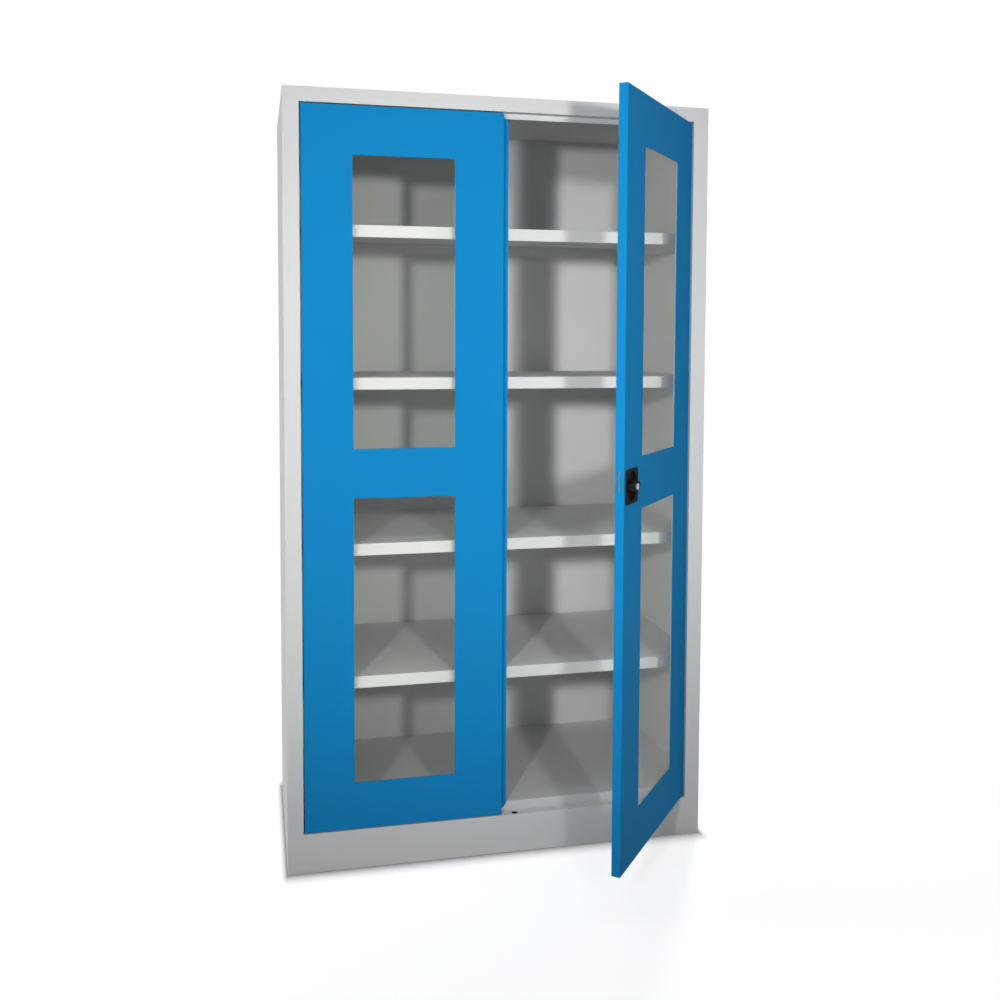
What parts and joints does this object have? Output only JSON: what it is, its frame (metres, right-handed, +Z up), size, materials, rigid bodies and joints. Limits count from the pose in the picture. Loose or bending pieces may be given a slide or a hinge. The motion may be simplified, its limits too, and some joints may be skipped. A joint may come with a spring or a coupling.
{
  "type": "glazed two-door steel cabinet",
  "caption": "Tall light grey steel cabinet with blue swing doors, clear window panes, adjustable shelves and a rotary-grip lock driving a tongue and locking rods.",
  "frame": {"origin": "on the ground, middle of the plinth's foot flange", "axes": "+X to the right of someone facing the doors, -Y out of the front, +Z up"},
  "size_m": [1.1, 0.9325, 1.95],
  "materials": {
    "light_grey_paint": "fine-textured powder coat, light grey",
    "sky_blue_paint": "semi-gloss powder coat, sky blue",
    "clear_pane": "clear polished acrylic sheet",
    "zinc_steel": "zinc-plated steel",
    "black_plastic": "black moulded plastic, satin",
    "nickel": "nickel-plated brass key plug"
  },
  "bodies": {
    "carcass": {"left_side_panel": "light_grey_paint", "right_side_panel": "light_grey_paint", "left_rear_post": "light_grey_paint", "right_rear_post": "light_grey_paint", "back_panel": "light_grey_paint", "top_panel": "light_grey_paint", "floor_panel": "light_grey_paint", "top_rail": "light_grey_paint", "plinth": "light_grey_paint", "shelf_1": "light_grey_paint", "shelf_2": "light_grey_paint", "shelf_3": "light_grey_paint", "shelf_4": "light_grey_paint", "clip_1_left_front": "zinc_steel", "clip_1_left_rear": "zinc_steel", "clip_1_right_front": "zinc_steel", "clip_1_right_rear": "zinc_steel", "clip_2_left_front": "zinc_steel", "clip_2_left_rear": "zinc_steel", "clip_2_right_front": "zinc_steel", "clip_2_right_rear": "zinc_steel", "clip_3_left_front": "zinc_steel", "clip_3_left_rear": "zinc_steel", "clip_3_right_front": "zinc_steel", "clip_3_right_rear": "zinc_steel", "clip_4_left_front": "zinc_steel", "clip_4_left_rear": "zinc_steel", "clip_4_right_front": "zinc_steel", "clip_4_right_rear": "zinc_steel", "left_lower_hinge_pin": "zinc_steel", "left_upper_hinge_pin": "zinc_steel", "right_lower_hinge_pin": "zinc_steel", "right_upper_hinge_pin": "zinc_steel"},
    "left_door": {"left_door_leaf": "sky_blue_paint", "left_lower_pane_frame": "light_grey_paint", "left_upper_pane_frame": "light_grey_paint", "left_lower_pane": "clear_pane", "left_upper_pane": "clear_pane", "left_lower_hinge_bush": "black_plastic", "left_upper_hinge_bush": "black_plastic", "left_closing_strip": "sky_blue_paint"},
    "right_door": {"right_door_leaf": "sky_blue_paint", "right_lower_pane_frame": "light_grey_paint", "right_upper_pane_frame": "light_grey_paint", "right_lower_pane": "clear_pane", "right_upper_pane": "clear_pane", "right_lower_hinge_bush": "black_plastic", "right_upper_hinge_bush": "black_plastic", "lock_plate": "black_plastic", "lock_case": "zinc_steel", "upper_rod_guide": "black_plastic", "lower_rod_guide": "black_plastic"},
    "lock_grip": {"lock_handle": "black_plastic", "lock_cam": "zinc_steel"},
    "key_plug": {"lock_plug": "nickel"},
    "upper_rod": {"upper_lock_rod": "zinc_steel"},
    "lower_rod": {"lower_lock_rod": "zinc_steel"}
  },
  "joints": [
    {"name": "left_door_swing", "type": "hinge", "parent": "carcass", "child": "left_door", "pos_m": [-0.497, -0.008, 0], "axis": [0, 0, -1], "range_deg": [0, 110]},
    {"name": "right_door_swing", "type": "hinge", "parent": "carcass", "child": "right_door", "pos_m": [0.497, -0.008, 0], "axis": [0, 0, 1], "range_deg": [-51, 59]},
    {"name": "grip_turn", "type": "hinge", "parent": "right_door", "child": "lock_grip", "pos_m": [0.22082, -0.36018, 1.007], "axis": [0.7771, -0.6293, 0], "range_deg": [0, 90]},
    {"name": "key_turn", "type": "hinge", "parent": "lock_grip", "child": "key_plug", "pos_m": [0.22082, -0.36018, 1.007], "axis": [0.7771, -0.6293, 0], "range_deg": [0, 90]},
    {"name": "upper_rod_slide", "type": "slide", "parent": "right_door", "child": "upper_rod", "axis": [0, 0, 1], "range_m": [0, 0.0198]},
    {"name": "lower_rod_slide", "type": "slide", "parent": "right_door", "child": "lower_rod", "axis": [0, 0, -1], "range_m": [0, 0.0198]}
  ],
  "couplings": [
    {"joint": "upper_rod_slide", "follows": "grip_turn", "m_per_rad": 0.012604},
    {"joint": "lower_rod_slide", "follows": "grip_turn", "m_per_rad": 0.012604}
  ]
}
